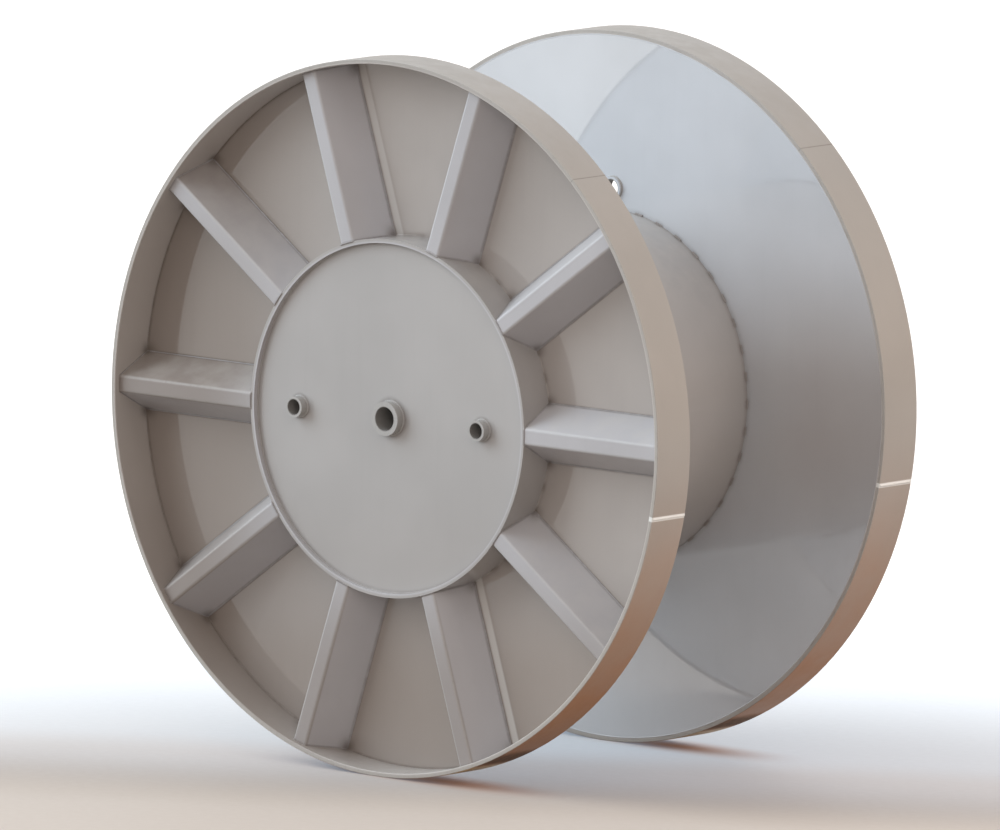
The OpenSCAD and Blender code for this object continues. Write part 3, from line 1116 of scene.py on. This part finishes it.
class DRUM_OT_stage(bpy.types.Operator):
    """Set up the camera, the pale floor and the soft light"""

    bl_idname = "drum.stage"
    bl_label = "Stage"

    def execute(self, context):
        stage = context.scene.drum_stage
        self.camera(context.scene, stage)
        self.floor(context.scene, stage)
        self.light(context.scene, stage)
        context.scene.view_settings.view_transform = "Standard"
        return {"FINISHED"}

    def camera(self, scene, stage):
        """A camera far off, so that its lines of sight are nearly parallel."""
        az, el = stage.azimuth, stage.elevation
        back = Vector((math.sin(az) * math.cos(el), -math.cos(az) * math.cos(el), math.sin(el)))
        level = Vector((math.cos(az), math.sin(az), 0.0))
        upright = back.cross(level)
        right = level * math.cos(stage.roll) + upright * math.sin(stage.roll)
        up = upright * math.cos(stage.roll) - level * math.sin(stage.roll)
        aside = (stage.centre[0] - PICTURE_W / 2) / stage.scale
        below = (PICTURE_H / 2 - stage.centre[1]) / stage.scale
        lens = bpy.data.cameras.new("camera")
        lens.sensor_fit = "HORIZONTAL"
        lens.sensor_width = 36.0
        lens.lens = stage.scale * stage.distance * lens.sensor_width / PICTURE_W
        lens.clip_end = stage.distance * 4
        holder = bpy.data.objects.new("camera", lens)
        turn = Matrix((right, up, back)).transposed().to_4x4()
        holder.matrix_world = Matrix.Translation(back * stage.distance - right * aside - up * below) @ turn
        scene.collection.objects.link(holder)
        scene.camera = holder

    def floor(self, scene, stage):
        """A pale floor, shaded by the drum and lit through from below far off."""
        mesh = bpy.data.meshes.new("floor")
        turns = [2 * math.pi * i / FLOOR_SIDES for i in range(FLOOR_SIDES)]
        ring = [(FLOOR_R * math.cos(turn), FLOOR_R * math.sin(turn), FLOOR_Z) for turn in turns]
        mesh.from_pydata(ring, [], [tuple(range(FLOOR_SIDES))])
        plane = bpy.data.objects.new("floor", mesh)
        scene.collection.objects.link(plane)
        nodes = PaintNodes("floor_finish")
        ahead = Vector((math.sin(stage.azimuth), -math.cos(stage.azimuth)))
        aside = Vector((math.cos(stage.azimuth), math.sin(stage.azimuth)))
        slant = ahead - aside * SHADE_SLANT
        forward = nodes.x * slant.x + nodes.y * slant.y
        off = span(nodes.x - ahead.x * POOL_AHEAD, nodes.y - ahead.y * POOL_AHEAD)
        in_front = (nodes.x * ahead.x + nodes.y * ahead.y).ramp(*FRONT_EDGE)
        far = off.ramp(*POOL_EDGE).highest(in_front)
        under = nodes.near(nodes.side, UNDER_SIDE, UNDER_WIDTH) * nodes.near(nodes.x, UNDER_X, UNDER_LENGTH)
        tint = clouded(nodes.noise(FLOOR_CLOUDS, 3.0).ramp(0.3, 0.7), stage.floor, spread=0.015)
        tint = nodes.near(forward, BROWN_BAND, BROWN_REACH).blend(tint, tuple(stage.floor_before))
        tint = far.blend(tint, tuple(stage.floor_far))
        tint = under.blend(tint, tuple(stage.floor_under))
        glow = forward.ramp(*SHADE_BEFORE).blend(tuple(stage.glow), tuple(stage.glow_before))
        glow = forward.ramp(*SHADE_BEHIND).blend(glow, tuple(stage.glow_behind))
        glow = far.blend(glow, tuple(stage.glow_far))
        glow = under.blend(glow, tuple(stage.glow_under))
        glow = off.ramp(*WHITE_EDGE).blend(glow, (1.0, 1.0, 1.0))
        bounce = nodes.add("ShaderNodeLightPath", out="Is Diffuse Ray")
        mirrored = nodes.add("ShaderNodeLightPath", out="Is Glossy Ray")
        seen = mirrored.shade(glow, stage.floor_mirrored)
        shader = nodes.add("ShaderNodeBsdfPrincipled", None, {
            "Base Color": bounce.shade(tint, stage.floor_bounce),
            "Roughness": nodes.noise(FLOOR_GRAINS) * 0.2 + 0.45,
            "Specular IOR Level": 0.25,
            "Emission Color": bounce.blend(seen, (0.0, 0.0, 0.0)),
            "Emission Strength": 1.0})
        nodes.add("ShaderNodeOutputMaterial", None, {"Surface": shader})
        mesh.materials.append(nodes.material)

    def light(self, scene, stage):
        """A dome that is warmer on the right, and four soft square lights."""
        world = bpy.data.worlds.new("dome")
        world.use_nodes = True
        tree = world.node_tree
        tree.nodes.clear()
        direction = Wire.node(tree, "ShaderNodeTexCoord", out="Generated")
        split = tree.nodes.new("ShaderNodeSeparateXYZ")
        tree.links.new(direction.socket, split.inputs[0])
        height = Wire(tree, split.outputs[2]) * 0.5 + 0.5
        sky = Wire.node(tree, "ShaderNodeValToRGB",
                        {"stops": [(0.35, DOME_GROUND), (0.50, DOME_HORIZON), (0.64, DOME_LOW_SKY),
                                   (1.0, DOME_TOP)]}, {"Fac": height})
        warm = Wire(tree, split.outputs[0]).ramp(-0.3, 0.9)
        tinted = Wire.node(tree, "ShaderNodeMix", {"data_type": "RGBA", "blend_type": "MULTIPLY"},
                           {"Factor": warm, 6: sky, 7: (*stage.warm_side, 1.0)}, out=2)
        shine = Wire.node(tree, "ShaderNodeBackground", None, {"Color": tinted, "Strength": stage.dome})
        Wire.node(tree, "ShaderNodeOutputWorld", None, {"Surface": shine})
        scene.world = world
        self.softbox(scene, "softbox_left", stage.softbox_place, LEFT_AIM, stage.softbox_side,
                     stage.softbox, stage.softbox_colour)
        self.softbox(scene, "softbox_right", stage.fill_place, DRUM_CENTRE, stage.fill_side,
                     stage.fill, stage.fill_colour)
        self.softbox(scene, "softbox_front", stage.front_place, DRUM_CENTRE, stage.front_side,
                     stage.front, stage.fill_colour)
        self.softbox(scene, "softbox_back", stage.back_place, DRUM_CENTRE, stage.back_side,
                     stage.back, stage.softbox_colour)

    def softbox(self, scene, name, place, aim, side, power, colour):
        """One square light, which the gloss doesn't mirror."""
        lamp = bpy.data.lights.new(name, "AREA")
        lamp.shape = "SQUARE"
        lamp.size = side
        lamp.energy = power
        lamp.color = colour
        holder = bpy.data.objects.new(name, lamp)
        way = Vector(aim) - Vector(place)
        holder.matrix_world = Matrix.Translation(place) @ way.to_track_quat("-Z", "Y").to_matrix().to_4x4()
        holder.visible_glossy = False
        scene.collection.objects.link(holder)


class DRUM_PT_sidebar(bpy.types.Panel):
    """Lists the drum's settings and the steps that dress it"""

    bl_idname = "DRUM_PT_sidebar"
    bl_label = "Cable drum"
    bl_space_type = "VIEW_3D"
    bl_region_type = "UI"
    bl_category = "Cable drum"

    def draw(self, context):
        for settings in (context.scene.drum_paint, context.scene.drum_welds, context.scene.drum_stage):
            box = self.layout.box()
            for name in settings.__annotations__:
                box.prop(settings, name)
        for step in STEPS:
            self.layout.operator(step.bl_idname)


SETTINGS = {"drum_paint": DrumPaint, "drum_welds": DrumWelds, "drum_stage": DrumStage}
STEPS = (DRUM_OT_stage, DRUM_OT_hoops, DRUM_OT_webs, DRUM_OT_barrel, DRUM_OT_discs, DRUM_OT_tubes,
         DRUM_OT_spokes)


def register():
    for name, group in SETTINGS.items():
        bpy.utils.register_class(group)
        setattr(bpy.types.Scene, name, PointerProperty(type=group))
    for step in STEPS:
        bpy.utils.register_class(step)
    bpy.utils.register_class(DRUM_PT_sidebar)


def unregister():
    bpy.utils.unregister_class(DRUM_PT_sidebar)
    for step in reversed(STEPS):
        bpy.utils.unregister_class(step)
    for name, group in SETTINGS.items():
        delattr(bpy.types.Scene, name)
        bpy.utils.unregister_class(group)


def main():
    register()
    bpy.ops.drum.stage()
    bpy.ops.drum.hoops()
    bpy.ops.drum.webs()
    bpy.ops.drum.barrel()
    bpy.ops.drum.discs()
    bpy.ops.drum.tubes()
    bpy.ops.drum.spokes()
    bpy.context.view_layer.update()


if __name__ == "__main__":
    main()
